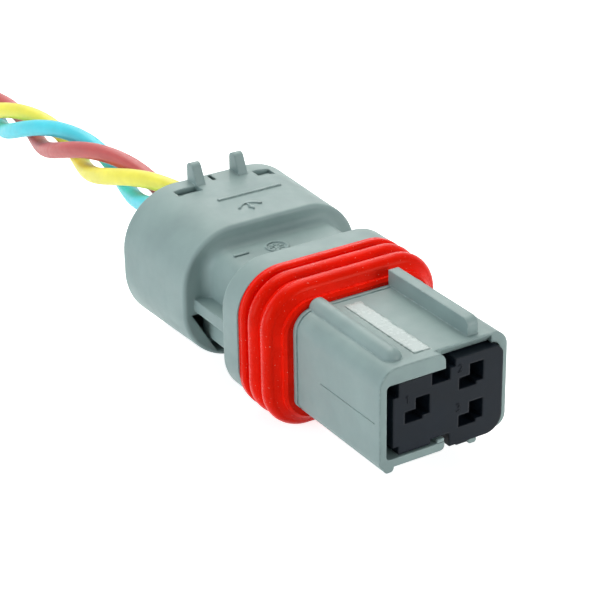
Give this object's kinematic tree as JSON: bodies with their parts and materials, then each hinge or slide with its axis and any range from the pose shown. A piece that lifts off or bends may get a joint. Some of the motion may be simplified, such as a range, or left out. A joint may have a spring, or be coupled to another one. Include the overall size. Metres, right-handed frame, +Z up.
{
  "type": "sealed automotive connector",
  "caption": "Sealed rectangular plug connector with a ribbed ring seal, a sliding front lock, an oval rear hood and a short twisted pigtail of insulated leads.",
  "frame": {"origin": "on the axis of the mating nose, in the plane of its front lip", "axes": "+X to the right seen from the mating end, +Y from the nose back along the leads, +Z up"},
  "size_m": [0.0258, 0.206, 0.0216],
  "materials": {
    "housing_plastic": "satin moulded, light grey with a green cast",
    "seal_rubber": "smooth silicone",
    "lock_plastic": "satin moulded",
    "cover_plastic": "satin moulded",
    "tinned_strip": "bright tin plating",
    "spring_steel": "rolled strip",
    "copper_strand": "bare stranded copper",
    "red_insulation": "smooth insulation",
    "blue_insulation": "smooth insulation",
    "yellow_insulation": "smooth insulation"
  },
  "bodies": {
    "connector": {"housing": "housing_plastic", "ring_seal": "seal_rubber", "rear_seal": "seal_rubber", "rear_cover": "cover_plastic", "contact_1": "tinned_strip", "contact_2": "tinned_strip", "contact_3": "tinned_strip", "contact_spring_1": "spring_steel", "contact_spring_2": "spring_steel", "contact_spring_3": "spring_steel", "crimped_core_1": "copper_strand", "crimped_core_2": "copper_strand", "crimped_core_3": "copper_strand", "red_lead": "red_insulation", "blue_lead": "blue_insulation", "yellow_lead": "yellow_insulation", "bare_end_1": "copper_strand", "bare_end_2": "copper_strand", "bare_end_3": "copper_strand"},
    "front_lock": {"front_lock": "lock_plastic"}
  },
  "joints": [
    {"name": "front_lock_slide", "type": "slide", "parent": "connector", "child": "front_lock", "axis": [0, -1, 0], "range_m": [0, 0.002]}
  ]
}
